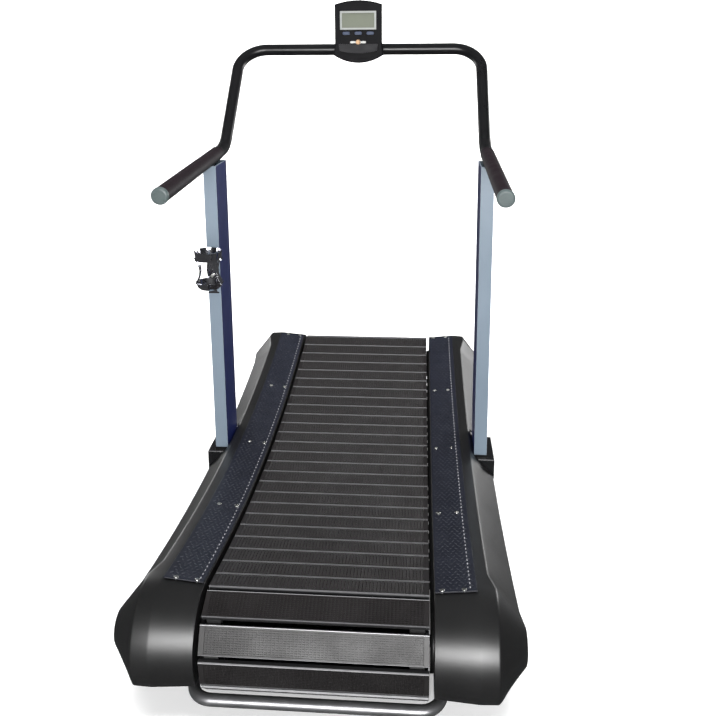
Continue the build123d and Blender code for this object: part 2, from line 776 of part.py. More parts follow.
# Bottle cage on the rear face of the left post ---------------------------------------
cage_x = -405
cage_radius = 41
cage_wall = 2.5
cage_y = -cage_radius - 4
cage_top = 815
cage_low = 698
with BuildPart() as bottle_cage:
    with BuildSketch(Plane.XY.offset(cage_low)):
        with Locations((cage_x, cage_y)):
            Circle(cage_radius)
    extrude(amount=cage_top - cage_low)
    with BuildSketch(Plane.XY.offset(cage_low + cage_wall)):
        with Locations((cage_x, cage_y)):
            Circle(cage_radius - cage_wall)
    extrude(amount=cage_top - cage_low, mode=Mode.SUBTRACT)
    with Locations((cage_x, cage_y - cage_radius, (cage_top - 22 + cage_low + 24) / 2)):
        Box(2 * cage_radius + 2, 144, cage_top - cage_low - 46, mode=Mode.SUBTRACT)
    with Locations((cage_x, 0, cage_low - 26)):
        Box(22, 6, cage_top - cage_low + 20, align=(Align.CENTER, Align.MAX, Align.MIN))
    with Locations((cage_x, 0, cage_low - 26)):
        Box(32, 14, 26, align=(Align.CENTER, Align.MAX, Align.MIN))
finish("bottle_cage", bottle_cage)

with BuildPart() as cage_screws:
    for height in (cage_low + 30, cage_top - 30):
        with BuildSketch(Plane.XZ.offset(6.8)):
            with Locations((cage_x, height)):
                Circle(4.5)
        extrude(amount=3)
finish("cage_screws", cage_screws)

print("slats", slat_count, "pitch", round(slat_pitch, 2), "deck radius", round(deck_radius))
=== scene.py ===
import json
import math
import bpy
from mathutils import Matrix, Vector


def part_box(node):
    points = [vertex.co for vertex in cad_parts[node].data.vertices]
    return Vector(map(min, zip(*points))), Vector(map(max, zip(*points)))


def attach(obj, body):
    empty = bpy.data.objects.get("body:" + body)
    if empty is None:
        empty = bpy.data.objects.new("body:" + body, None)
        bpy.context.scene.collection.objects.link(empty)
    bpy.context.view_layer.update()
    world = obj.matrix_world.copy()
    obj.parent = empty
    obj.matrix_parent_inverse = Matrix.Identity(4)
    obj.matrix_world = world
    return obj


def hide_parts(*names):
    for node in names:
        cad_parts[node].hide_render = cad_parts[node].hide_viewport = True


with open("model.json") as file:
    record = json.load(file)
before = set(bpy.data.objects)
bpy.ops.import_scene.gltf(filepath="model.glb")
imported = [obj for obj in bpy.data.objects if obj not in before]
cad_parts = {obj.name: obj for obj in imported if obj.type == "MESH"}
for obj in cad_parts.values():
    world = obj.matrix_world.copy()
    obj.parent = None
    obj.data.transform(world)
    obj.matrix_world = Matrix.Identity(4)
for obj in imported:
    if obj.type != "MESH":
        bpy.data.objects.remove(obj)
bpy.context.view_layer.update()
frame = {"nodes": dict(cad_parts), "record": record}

# Slatted running belt ---------------------------------------------------------
# Fifty-nine aluminium slats with moulded rubber treads run in a closed loop over
# a hollow deck and two drums. Each tread is a pad of small square studs inside a
# smooth border, bonded between the two raised lips of its slat.


def add_socket(group, name, kind, side, value=None):
    socket = group.interface.new_socket(name=name, in_out=side, socket_type=kind)
    if value is not None:
        socket.default_value = value
    return socket


def join(tree, source, target):
    tree.links.new(source, target)


def new_node(tree, kind, **settings):
    node = tree.nodes.new(kind)
    for name, value in settings.items():
        setattr(node, name, value)
    return node


def math_node(tree, operation, first, second=None):
    node = new_node(tree, "ShaderNodeMath", operation=operation)
    for index, value in enumerate((first, second)):
        if value is None:
            continue
        if isinstance(value, (int, float)):
            node.inputs[index].default_value = value
        else:
            join(tree, value, node.inputs[index])
    return node.outputs[0]


def noise(tree, place, scale, detail=3.0):
    node = new_node(tree, "ShaderNodeTexNoise")
    node.inputs["Detail"].default_value = detail
    join(tree, place, node.inputs["Vector"])
    if isinstance(scale, (int, float)):
        node.inputs["Scale"].default_value = scale
    else:
        join(tree, scale, node.inputs["Scale"])
    return node.outputs["Fac"]


def make_mottle():
    """Cloudy change of colour and gloss with a fine grain."""
    group = bpy.data.node_groups.new("Mottle and grain", "ShaderNodeTree")
    add_socket(group, "Color", "NodeSocketColor", "INPUT", (0.5, 0.5, 0.5, 1))
    add_socket(group, "Variation", "NodeSocketFloat", "INPUT", 0.15)
    add_socket(group, "Cloud Scale", "NodeSocketFloat", "INPUT", 6.0)
    add_socket(group, "Grain Scale", "NodeSocketFloat", "INPUT", 900.0)
    add_socket(group, "Roughness", "NodeSocketFloat", "INPUT", 0.5)
    add_socket(group, "Roughness Spread", "NodeSocketFloat", "INPUT", 0.1)
    add_socket(group, "Color", "NodeSocketColor", "OUTPUT")
    add_socket(group, "Roughness", "NodeSocketFloat", "OUTPUT")
    add_socket(group, "Height", "NodeSocketFloat", "OUTPUT")
    entry = new_node(group, "NodeGroupInput")
    leave = new_node(group, "NodeGroupOutput")
    place = new_node(group, "ShaderNodeTexCoord").outputs["Object"]
    clouds = noise(group, place, entry.outputs["Cloud Scale"], 5.0)
    grain = noise(group, place, entry.outputs["Grain Scale"], 2.0)
    both = math_node(group, "ADD", math_node(group, "MULTIPLY", clouds, 0.7),
                     math_node(group, "MULTIPLY", grain, 0.3))
    centred = math_node(group, "SUBTRACT", both, 0.5)
    factor = math_node(group, "MULTIPLY", centred, entry.outputs["Variation"])
    factor = math_node(group, "ADD", math_node(group, "MULTIPLY", factor, 4.0), 1.0)
    tint = new_node(group, "ShaderNodeVectorMath", operation="SCALE")
    join(group, entry.outputs["Color"], tint.inputs[0])
    join(group, factor, tint.inputs["Scale"])
    join(group, tint.outputs[0], leave.inputs["Color"])
    gloss = math_node(group, "MULTIPLY", centred, entry.outputs["Roughness Spread"])
    gloss = math_node(group, "MULTIPLY", gloss, 4.0)
    gloss = math_node(group, "ADD", gloss, entry.outputs["Roughness"])
    join(group, gloss, leave.inputs["Roughness"])
    join(group, grain, leave.inputs["Height"])
    return group


def make_soft_edge():
    """Normals that round a sharp edge, and a mask that is white along it."""
    group = bpy.data.node_groups.new("Soft edge", "ShaderNodeTree")
    add_socket(group, "Radius", "NodeSocketFloat", "INPUT", 0.001)
    add_socket(group, "Normal", "NodeSocketVector", "OUTPUT")
    add_socket(group, "Edge", "NodeSocketFloat", "OUTPUT")
    entry = new_node(group, "NodeGroupInput")
    leave = new_node(group, "NodeGroupOutput")
    bevel = new_node(group, "ShaderNodeBevel", samples=4)
    join(group, entry.outputs["Radius"], bevel.inputs["Radius"])
    facing = new_node(group, "ShaderNodeNewGeometry").outputs["Normal"]
    dot = new_node(group, "ShaderNodeVectorMath", operation="DOT_PRODUCT")
    join(group, bevel.outputs[0], dot.inputs[0])
    join(group, facing, dot.inputs[1])
    edge = new_node(group, "ShaderNodeMapRange")
    edge.inputs["From Min"].default_value = 0.98
    edge.inputs["From Max"].default_value = 0.80
    join(group, dot.outputs["Value"], edge.inputs["Value"])
    join(group, bevel.outputs[0], leave.inputs["Normal"])
    join(group, edge.outputs[0], leave.inputs["Edge"])
    return group


mottle = make_mottle()
soft_edge = make_soft_edge()


def make_finish(name, color, roughness, variation=0.12, spread=0.08, cloud=7.0, grain=900.0,
                bump=0.1, depth=0.0004, edge=0.0, edge_highlight_color=(0.3, 0.3, 0.3), metallic=0.0,
                gleam=0.5):
    """Principled material with mottled colour, uneven gloss, grain and a painted highlight along
    edges.
    """
    material = bpy.data.materials.new(name)
    material.use_nodes = True
    tree = material.node_tree
    shader = tree.nodes["Principled BSDF"]
    look = new_node(tree, "ShaderNodeGroup", node_tree=mottle, label="Mottle")
    look.inputs["Color"].default_value = (*color, 1)
    look.inputs["Variation"].default_value = variation
    look.inputs["Cloud Scale"].default_value = cloud
    look.inputs["Grain Scale"].default_value = grain
    look.inputs["Roughness"].default_value = roughness
    look.inputs["Roughness Spread"].default_value = spread
    base = look.outputs["Color"]
    relief = new_node(tree, "ShaderNodeBump")
    relief.inputs["Strength"].default_value = bump
    relief.inputs["Distance"].default_value = depth
    join(tree, look.outputs["Height"], relief.inputs["Height"])
    if edge:
        rim = new_node(tree, "ShaderNodeGroup", node_tree=soft_edge, label="Soft edge")
        rim.inputs["Radius"].default_value = edge
        join(tree, rim.outputs["Normal"], relief.inputs["Normal"])
        # The edge mask mixes in a lighter colour: a painted highlight along sharp edges.
        edge_highlight_mix = new_node(tree, "ShaderNodeMix", data_type="RGBA")
        share = math_node(tree, "MULTIPLY", rim.outputs["Edge"], 0.55)
        join(tree, share, edge_highlight_mix.inputs["Factor"])
        join(tree, base, edge_highlight_mix.inputs["A"])
        edge_highlight_mix.inputs["B"].default_value = (*edge_highlight_color, 1)
        base = edge_highlight_mix.outputs["Result"]
    join(tree, base, shader.inputs["Base Color"])
    join(tree, look.outputs["Roughness"], shader.inputs["Roughness"])
    join(tree, relief.outputs["Normal"], shader.inputs["Normal"])
    shader.inputs["Metallic"].default_value = metallic
    shader.inputs["Specular IOR Level"].default_value = gleam
    material["look"] = look.name
    return material


def dress(material, *nodes):
    """Give CAD pieces their finish."""
    for name in nodes:
        piece = frame["nodes"][name]
        if len(piece.material_slots) == 0:
            piece.data.materials.append(material)
        for place in piece.material_slots:
            place.material = material


def make_piece(name, points, faces, material, body="frame", slot=None, replaces=()):
    """One object in metres that rides a body and takes the given finish; the slot argument is
    not used.
    """
    mesh = bpy.data.meshes.new(name)
    mesh.from_pydata(points, [], faces)
    mesh.update()
    piece = bpy.data.objects.new(name, mesh)
    bpy.context.collection.objects.link(piece)
    mesh.materials.append(material)
    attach(piece, body)
    if replaces:
        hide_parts(*replaces)
    return piece


joint_list = frame["record"]["behaviour"]["joints"]
joint_place = {joint["name"]: joint.get("pos_m") for joint in joint_list}
drum_y = joint_place["front_drum_turn"][1]
drum_z = joint_place["front_drum_turn"][2]
deck_low = 0.177
tread_radius = 0.112
pitch_radius = 0.096
return_low = 0.038
tread_depth = tread_radius - pitch_radius
deck_rise = deck_low - drum_z
deck_chord = drum_y**2 + deck_rise**2 - tread_radius**2
deck_radius = deck_chord / (2 * (tread_radius - deck_rise))
deck_centre = deck_low + deck_radius
deck_angle = math.asin(drum_y / (deck_radius + tread_radius))
return_drop = drum_z - return_low
return_chord = drum_y**2 + return_drop**2 - pitch_radius**2
return_radius = return_chord / (2 * (return_drop - pitch_radius))
return_angle = math.asin(drum_y / (return_radius - pitch_radius))
half_deck = (deck_radius + tread_depth) * deck_angle
drum_wrap = pitch_radius * (math.pi + deck_angle - return_angle)
return_run = 2 * return_radius * return_angle
loop_length = 2 * half_deck + 2 * drum_wrap + return_run
slat_spacing = 0.062
slat_count = round(loop_length / slat_spacing)
slat_pitch = loop_length / slat_count
loop_runs = [
    (half_deck, 0, deck_centre, deck_radius + tread_depth, 0, 1),
    (drum_wrap, -drum_y, drum_z, pitch_radius, math.pi + deck_angle, -1),
    (return_run, 0, return_low + return_radius, return_radius, return_angle, -1),
    (drum_wrap, drum_y, drum_z, pitch_radius, -return_angle, -1),
    (half_deck, 0, deck_centre, deck_radius + tread_depth, -deck_angle, 1),
]


def belt_frame(travel):
    """Point on the pitch line, direction along the belt and direction out of the loop."""
    travel = travel % loop_length
    for length, centre_y, centre_z, radius, start, turn in loop_runs:
        if travel <= length:
            break
        travel -= length
    angle = start + turn * travel / radius
    place = Vector((0, centre_y - radius * math.sin(angle), centre_z - radius * math.cos(angle)))
    out = Vector((0, turn * math.sin(angle), turn * math.cos(angle)))
    along = Vector((0, -out.z, out.y))
    return place, along, out


tread_low, tread_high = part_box("slat_treads")
belt_half = tread_high.x
tread_width = 0.0558
tread_base = 0.0122
stud_floor = 0.0026
stud_top = 0.0038
stud_rows = 11
stud_columns = 58
border_x = 0.012
border_y = 0.0035
edge_taper = 0.0006
stud_taper = 0.0004


def make_stud(points, faces, corner, across, along, low, high, taper):
    """A low square stud with sloping sides, open underneath."""
    first = len(points)
    for height, inset in ((low, 0.0), (high, taper)):
        for x, y in ((inset, inset), (across - inset, inset),
                     (across - inset, along - inset), (inset, along - inset)):
            points.append((corner[0] + x, corner[1] + y, height))
    faces.append((first + 4, first + 5, first + 6, first + 7))
    for side in range(4):
        after = (side + 1) % 4
        faces.append((first + side, first + after, first + 4 + after, first + 4 + side))


def make_tread():
    """One tread pad: closed slab, raised border and rows of studs; z up out of the loop."""
    points, faces = [], []
    half_x, half_y = belt_half, tread_width / 2
    for x, y in ((-half_x, -half_y), (half_x, -half_y), (half_x, half_y), (-half_x, half_y)):
        points.append((x, y, tread_base))
        points.append((x, y, tread_base + stud_floor))
    faces.append((0, 6, 4, 2))
    faces.append((1, 3, 5, 7))
    for side in range(4):
        after = (side + 1) % 4
        faces.append((2 * side, 2 * after, 2 * after + 1, 2 * side + 1))
    low, high = tread_base + stud_floor, tread_base + stud_top
    for edge_x in (-half_x, half_x - border_x):
        make_stud(points, faces, (edge_x, -half_y), border_x, 2 * half_y, low, high, edge_taper)
    inner = 2 * (half_x - border_x)
    step_x = inner / stud_columns
    step_y = 2 * (half_y - border_y) / stud_rows
    for edge_y in (-half_y, half_y - border_y):
        make_stud(points, faces, (-half_x + border_x, edge_y), inner, border_y, low, high,
                  stud_taper)
    for column in range(stud_columns):
        for row in range(stud_rows):
            corner = (-half_x + border_x + (column + 0.1) * step_x,
                      -half_y + border_y + (row + 0.12) * step_y)
            make_stud(points, faces, corner, 0.8 * step_x, 0.76 * step_y, low, high, stud_taper)
    return points, faces


def lay_round_loop(part_points, part_faces):
    """Points and faces of one slat part, repeated on every slat of the loop."""
    points, faces = [], []
    for index in range(slat_count):
        place, along, out = belt_frame(index * slat_pitch)
        first = len(points)
        for x, y, z in part_points:
            spot = place + along * y + out * z
            points.append((x, spot.y, spot.z))
        faces.extend(tuple(first + corner for corner in face) for face in part_faces)
    return points, faces


rubber = make_finish("Tread rubber", (0.011, 0.0098, 0.0100), 0.44, variation=0.22,
                     spread=0.12, cloud=14.0, grain=1400.0, bump=0.25)
make_piece("tread_pads", *lay_round_loop(*make_tread()), rubber, slot="tread",
           replaces=["slat_treads"])
dark_metal = make_finish("Anodised slat aluminium", (0.045, 0.045, 0.047), 0.45,
                         variation=0.15, cloud=40.0, metallic=0.6, bump=0.08)
# Both lip finishes are one aluminium: the forward lips get a lighter colour as a painted
# highlight, the rearward lips a darker one as painted shade.
lip_metal_painted_lit = make_finish("Bright slat lip", (0.36, 0.36, 0.37), 0.40, variation=0.18,
                           cloud=60.0, metallic=0.35, bump=0.05)
lip_metal_painted_shade = make_finish("Dull slat lip", (0.12, 0.12, 0.125), 0.45, variation=0.18,
                         cloud=60.0, metallic=0.35, bump=0.05)
dress(dark_metal, "rear_pulleys", "front_pulleys")
bar_half = 0.0292
bar_low = 0.0042


def make_prism(outline, half):
    """Closed bar along X with a given outline of (y, z) points."""
    count = len(outline)
    points = [(-half, y, z) for y, z in outline] + [(half, y, z) for y, z in outline]
    faces = [tuple(range(count)), tuple(reversed(range(count, 2 * count)))]
    for index in range(count):
        after = (index + 1) % count
        faces.append((index, index + count, after + count, after))
    return points, faces


slot_half, slot_deep, slot_middle = 0.010, 0.005, 0.015
slot_top = bar_low + slot_deep
bar_outline = [(-bar_half, bar_low)]
for middle in (-slot_middle, slot_middle):
    near, far = middle - slot_half, middle + slot_half
    bar_outline += [(near, bar_low), (near, slot_top), (far, slot_top), (far, bar_low)]
bar_outline += [(bar_half, bar_low), (bar_half, tread_base), (-bar_half, tread_base)]
make_piece("slat_bodies", *lay_round_loop(*make_prism(bar_outline, belt_half)), dark_metal,
           slot="bar", replaces=["slat_bars"])
lip_width = 0.0013
lip_shoulder, lip_top = 0.0152, 0.0158
lip_inset = 0.0005
# Forward lips take the painted highlight, rearward lips the painted shade.
for edge, word, metal in ((-1, "forward", lip_metal_painted_lit), (1, "rearward", lip_metal_painted_shade)):
    near, far = edge * (bar_half - lip_width), edge * bar_half
    lip_outline = [(near, tread_base), (far, tread_base), (far, lip_shoulder),
                   (far - edge * 0.0004, lip_top), (near + edge * 0.0001, lip_top)]
    if edge < 0:
        lip_outline.reverse()
    lip = make_prism(lip_outline, belt_half - lip_inset)
    make_piece(f"{word}_slat_lips", *lay_round_loop(*lip), metal, slot="bar")

# Drive belts and drums --------------------------------------------------------
# Two toothed rubber belts carry the slats. They turn round aluminium pulleys on
# ground steel shafts, one shaft in each end of the machine.
belt_rubber = make_finish("Drive belt rubber", (0.022, 0.022, 0.022), 0.7, variation=0.2,
                          cloud=30.0, bump=0.2)
dress(belt_rubber, "left_drive_belt", "right_drive_belt")
ground_steel = make_finish("Ground steel", (0.50, 0.51, 0.53), 0.3, variation=0.1, cloud=25.0,
                           metallic=1.0, bump=0.05)
dress(ground_steel, "rear_drum_shaft", "front_drum_shaft")

# Welded base ------------------------------------------------------------------
# Plate side rails, square runners, cross tubes, post brackets and wheel ears are
# cut from mild steel, welded or bolted, and powder coated satin black.
powder_black = make_finish("Satin black powder coat", (0.007, 0.007, 0.008), 0.34,
                           variation=0.18, spread=0.1, cloud=9.0, grain=700.0, bump=0.18,
                           edge=0.0015, edge_highlight_color=(0.30, 0.30, 0.31))
bar_grey = make_finish("Lift bar grey steel", (0.30, 0.30, 0.31), 0.38, variation=0.12,
                       cloud=20.0, metallic=0.9, bump=0.06)
dress(bar_grey, "rear_lift_bar")
dress(powder_black, "left_side_rail", "right_side_rail", "left_base_runner", "right_base_runner",
      "cross_members", "shaft_bearings", "wheel_brackets")
# The near-white edge colour of the brackets is a painted highlight on their edges.
bracket_black = make_finish("Bracket powder coat", (0.008, 0.008, 0.009), 0.30, variation=0.18,
                            cloud=9.0, grain=700.0, bump=0.15, edge=0.004,
                            edge_highlight_color=(0.62, 0.62, 0.64))
dress(bracket_black, "left_post_bracket", "right_post_bracket")

# Guide bearings and screws ----------------------------------------------------
# Sealed ball bearings under the drive belts carry the deck's load, on blackened
# steel studs screwed into the side rails. Screws, bolts and axles are zinc plated.
bearing_steel = make_finish("Bearing steel", (0.62, 0.62, 0.64), 0.18, variation=0.06,
                            metallic=1.0, bump=0.03)
dress(bearing_steel, "left_guide_bearings", "right_guide_bearings")
zinc = make_finish("Zinc plate", (0.78, 0.78, 0.74), 0.28, variation=0.12, cloud=60.0,
                   metallic=1.0, bump=0.05)
dress(zinc, "bracket_bolts", "wheel_axles", "cage_screws", "footplate_screws")
blackened = make_finish("Blackened steel", (0.05, 0.05, 0.052), 0.4, variation=0.15,
                        cloud=50.0, metallic=0.8, bump=0.05)
dress(blackened, "left_bearing_studs", "right_bearing_studs")

# Side covers ------------------------------------------------------------------
# Long moulded shells hide the rails on both sides. They are satin charcoal
# plastic with a fine spark-eroded grain and soft creases.
cover_plastic = make_finish("Charcoal cover plastic", (0.0065, 0.0065, 0.0066), 0.40,
                            variation=0.16, spread=0.10, cloud=5.0, grain=1100.0, bump=0.12,
                            gleam=0.85)
cover_low, cover_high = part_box("right_side_cover")
cover_bottom = cover_low.z
cover_inner = cover_low.x
cover_outer = cover_high.x
cover_wall = 0.003
crest_x, slope_wide, slope_drop = 0.370, 0.072, 0.083
wall_start, wall_lip = 0.073, 0.079
notch_start, notch_end, notch_x = -0.012, 0.142, 0.380
blend_turn = math.radians(0.9)
curve_shares = (0.0, 0.25, 0.5, 0.75, 1.0)


def rounded_corners(corners):
    """Section points with each corner of a given radius turned into a short curve."""
    points = []
    for index, (x, height, radius) in enumerate(corners):
        here = Vector((x, height))
        if radius == 0:
            points.append(here)
            continue
        before = Vector(corners[index - 1][:2])
        after = Vector(corners[index + 1][:2])
        start = here + (before - here).normalized() * radius
        end = here + (after - here).normalized() * radius
        for share in curve_shares:
            points.append((1 - share) ** 2 * start + 2 * share * (1 - share) * here
                          + share**2 * end)
    return points


def cover_section(blend):
    """Half section of a cover, from inner lip to side wall; blend 0 is deck, 1 is nose."""
    crest = crest_x + 0.013 * blend
    outer = cover_outer - 0.006 * (1 - blend)
    lip = -0.024 - 0.026 * blend
    cut = (notch_x - crest_x) / slope_wide
    return rounded_corners([
        (cover_inner - 0.0085, lip, 0), (cover_inner, lip, 0), (cover_inner, 0.004, 0.0015),
        (0.344, 0.012, 0.003), (crest, 0.010, 0.004),
        (crest + (outer - crest) * cut, 0.010 - slope_drop * cut, 0),
        (outer, -wall_start, 0.004), (outer, -wall_lip, 0),
    ])


sharp_before_cut, curves_before_cut = 2, 3
cut_index = sharp_before_cut + curves_before_cut * len(curve_shares)
deck_steps = 56
notch_turns = [math.asin(y / deck_radius) for y in (notch_start, notch_end)]
deck_turns = notch_turns + [-deck_angle, deck_angle, blend_turn - deck_angle,
                            deck_angle - blend_turn]
for step in range(1, deck_steps):
    deck_turns.append(-deck_angle + blend_turn
                      + (2 * deck_angle - 2 * blend_turn) * step / deck_steps)
deck_turns.sort()
nose_front = math.radians(100)
front_share, under_share = 0.7, 0.3


def nose_row(share, end):
    """Section points round a drum: share runs from the deck (0) to the cut underside (1)."""
    row = []
    for x, height in cover_section(1):
        radius = tread_radius + height
        last = math.acos(max(-1.0, (cover_bottom - drum_z) / radius))
        if share < front_share:
            turn = -deck_angle + share / front_share * (nose_front + deck_angle)
        else:
            turn = nose_front + (share - front_share) / under_share * (last - nose_front)
        row.append((x, end * (drum_y + radius * math.sin(turn)),
                    drum_z + radius * math.cos(turn)))
    row.append((cover_outer, end * drum_y, drum_z - tread_radius + wall_lip))
    return row


def deck_row(turn):
    """Section points across the deck at one turn of its arc."""
    blend = max(0.0, (abs(turn) - deck_angle + blend_turn) / blend_turn)
    row = []
    for x, height in cover_section(blend):
        reach = deck_radius - height
        row.append((x, reach * math.sin(turn), deck_centre - reach * math.cos(turn)))
    row.append((row[-1][0], row[-1][1], cover_bottom))
    return row


nose_steps = 40
cover_rows = [nose_row(step / nose_steps, -1) for step in range(nose_steps, 0, -1)]
first_deck = len(cover_rows)
cover_rows += [deck_row(turn) for turn in deck_turns]
cover_rows += [nose_row(step / nose_steps, 1) for step in range(1, nose_steps + 1)]
notch_rows = [first_deck + deck_turns.index(turn) for turn in notch_turns]


def finish_smooth(piece, angle=30.0):
    """Smooth shading with sharp edges kept above an angle."""
    mesh = piece.data
    mesh.polygons.foreach_set("use_smooth", [True] * len(mesh.polygons))
    mesh.set_sharp_from_angle(angle=math.radians(angle))


for side, word in ((-1, "left"), (1, "right")):
    width = len(cover_rows[0])
    points = [(side * x, y, z) for row in cover_rows for x, y, z in row]
    faces = []
    for row in range(len(cover_rows) - 1):
        for column in range(width - 1):
            if notch_rows[0] <= row < notch_rows[1] and column >= cut_index:
                continue
            corner = row * width + column
            face = [corner, corner + 1, corner + 1 + width, corner + width]
            spots = {tuple(round(part, 7) for part in points[index]) for index in face}
            if len(spots) < 3:
                continue
            faces.append(face if side > 0 else face[::-1])
    cover = make_piece(f"{word}_cover_shell", points, faces, cover_plastic, slot="cover",
                       replaces=[f"{word}_side_cover"])
    finish_smooth(cover, 40.0)
    wall = cover.modifiers.new("wall", "SOLIDIFY")
    wall.thickness = cover_wall
    wall.offset = -1

# Footplates -------------------------------------------------------------------
# Bent strips of blackened steel tread plate, screwed on top of the covers for the
# feet to rest on. Small raised lozenges in two directions give the hold.
# The blue in the plate's base colour is painted light: the navy cast of blue light falling from
# the right.
tread_plate_and_blue_light = make_finish("Blackened tread plate", (0.008, 0.009, 0.0145), 0.40,
                          variation=0.25, spread=0.12, cloud=18.0, grain=500.0, bump=0.2,
                          edge=0.0008, edge_highlight_color=(0.10, 0.10, 0.12))
dress(tread_plate_and_blue_light, "left_footplate", "right_footplate")
plate_top = (0.0068, 0.0148)
plate_x = (0.252, 0.341)
plate_span = math.radians(10.8)
sunk = 0.0001


def plate_spot(side, x, turn, lift):
    """Point over the footplate, at a turn of the deck's arc and a lift above the plate."""
    share = (x - plate_x[0]) / (plate_x[1] - plate_x[0])
    height = plate_top[0] + share * (plate_top[1] - plate_top[0]) + lift
    reach = deck_radius - height
    return (side * x, reach * math.sin(turn), deck_centre - reach * math.cos(turn))


def add_faces(faces, ring, first, side):
    """Faces of one raised mark, turned over on the left side."""
    for face in ring:
        corners = [first + corner for corner in face]
        faces.append(corners if side > 0 else corners[::-1])


# Lozenge tops are coloured lighter than the plate: a painted glint of light on the raised marks.
lozenge_tops_glint = make_finish("Worn lozenge tops", (0.075, 0.080, 0.092), 0.3, variation=0.35,
                        spread=0.15, cloud=25.0, grain=500.0, bump=0.15, metallic=0.5)
# The dashes are coloured much lighter than the plate.
bright_dash_metal = make_finish("Bare dash tops", (0.42, 0.42, 0.45), 0.35, variation=0.3, cloud=50.0,
                         metallic=0.4, bump=0.1)
lozenge_step, lozenge_columns, lozenge_spacing = 0.0125, 7, 0.0128
lozenge_long, lozenge_wide, lozenge_high = 0.0058, 0.0016, 0.0012
lozenge_corners = [(-lozenge_long, 0, 0), (0, -lozenge_wide, 0), (lozenge_long, 0, 0),
                   (0, lozenge_wide, 0), (-lozenge_long * 0.5, 0, lozenge_high),
                   (lozenge_long * 0.5, 0, lozenge_high)]
lozenge_ring = [(0, 1, 5, 4), (1, 2, 5), (2, 3, 4, 5), (3, 0, 4)]
lozenge_rows = int(2 * plate_span * deck_radius / lozenge_step)
dash_rows, dash_long, dash_wide, dash_high = 84, 0.0034, 0.0012, 0.0014
dash_ring = [(4, 5, 6, 7), (0, 1, 5, 4), (1, 2, 6, 5), (2, 3, 7, 6), (3, 0, 4, 7)]
for side, word, dash_x in ((-1, "left", 0.262), (1, "right", 0.327)):
    points, faces = [], []
    for row in range(lozenge_rows):
        turn = -plate_span + (row + 0.5) * 2 * plate_span / lozenge_rows
        for column in range(lozenge_columns):
            x = (plate_x[0] + 0.0075 + column * lozenge_spacing
                 + (lozenge_spacing / 2 if row % 2 else 0.0))
            if x > plate_x[1] - 0.006:
                continue
            slant = 1 if (row + column) % 2 else -1
            add_faces(faces, lozenge_ring, len(points), side)
            for across, forward, lift in lozenge_corners:
                turned_x = across * 0.7 - slant * forward * 0.7
                turned_y = slant * across * 0.7 + forward * 0.7
                points.append(plate_spot(side, x + turned_x, turn + turned_y / deck_radius,
                                         lift - sunk))
    make_piece(f"{word}_footplate_lozenges", points, faces, lozenge_tops_glint, slot="plate")
    points, faces = [], []
    for row in range(dash_rows):
        turn = -plate_span + (row + 0.5) * 2 * plate_span / dash_rows
        add_faces(faces, dash_ring, len(points), side)
        for wide, long, lift in ((dash_wide, dash_long, -sunk),
                                 (0.5 * dash_wide, 0.7 * dash_long, dash_high)):
            for across, forward in ((-wide, -long), (wide, -long), (wide, long), (-wide, long)):
                points.append(plate_spot(side, dash_x + across, turn + forward / deck_radius,
                                         lift))
    make_piece(f"{word}_footplate_dashes", points, faces, bright_dash_metal, slot="plate")

# Posts ------------------------------------------------------------------------
# Two rectangular steel tubes stand on the brackets. They are painted satin deep blue; the rear
# face is coloured a lighter blue-grey than the sides, a painted highlight for the light that
# falls on it.
post_paint_and_rear_highlight = make_finish("Blue-grey post paint", (0.30, 0.37, 0.43), 0.32, variation=0.08,
                         spread=0.06, cloud=4.0, grain=800.0, bump=0.08, edge=0.002,
                         edge_highlight_color=(0.50, 0.56, 0.62))
tree = post_paint_and_rear_highlight.node_tree
facing = new_node(tree, "ShaderNodeTexCoord").outputs["Normal"]
parts = new_node(tree, "ShaderNodeSeparateXYZ")
join(tree, facing, parts.inputs[0])
side_share_vs_lit_rear = math_node(tree, "ABSOLUTE", parts.outputs["X"])
# Colour A, the lighter rear face, is a painted highlight; colour B is the navy of the sides.
paint = new_node(tree, "ShaderNodeMix", data_type="RGBA")
paint.inputs["A"].default_value = (0.165, 0.21, 0.258, 1)
paint.inputs["B"].default_value = (0.008, 0.014, 0.075, 1)
join(tree, side_share_vs_lit_rear, paint.inputs["Factor"])
join(tree, paint.outputs["Result"], tree.nodes[post_paint_and_rear_highlight["look"]].inputs["Color"])
dress(post_paint_and_rear_highlight, "left_post", "right_post")

# Handrail and collars ---------------------------------------------------------
# One bent steel tube makes both arms, the risers and the crossbar. It is welded
# to the posts and powder coated; the moulded collars at the posts' feet match it.
rail_black = make_finish("Handrail black", (0.005, 0.005, 0.0055), 0.30, variation=0.16,
                         spread=0.06, cloud=10.0, bump=0.12)
dress(rail_black, "handrail", "post_collars")

# Grips ------------------------------------------------------------------------
# Foam rubber sleeves pulled over the rear ends of the arms, closed by grey
# plastic caps.
foam = make_finish("Grip foam", (0.010, 0.0065, 0.0085), 0.55, variation=0.2, spread=0.1,
                   cloud=22.0, grain=1300.0, bump=0.45, depth=0.0006)
dress(foam, "left_grip", "right_grip")
cap_grey = make_finish("Cap grey plastic", (0.07, 0.09, 0.09), 0.3, variation=0.1, cloud=30.0,
                       bump=0.08, edge=0.003, edge_highlight_color=(0.30, 0.34, 0.34))
dress(cap_grey, "left_end_cap", "right_end_cap")

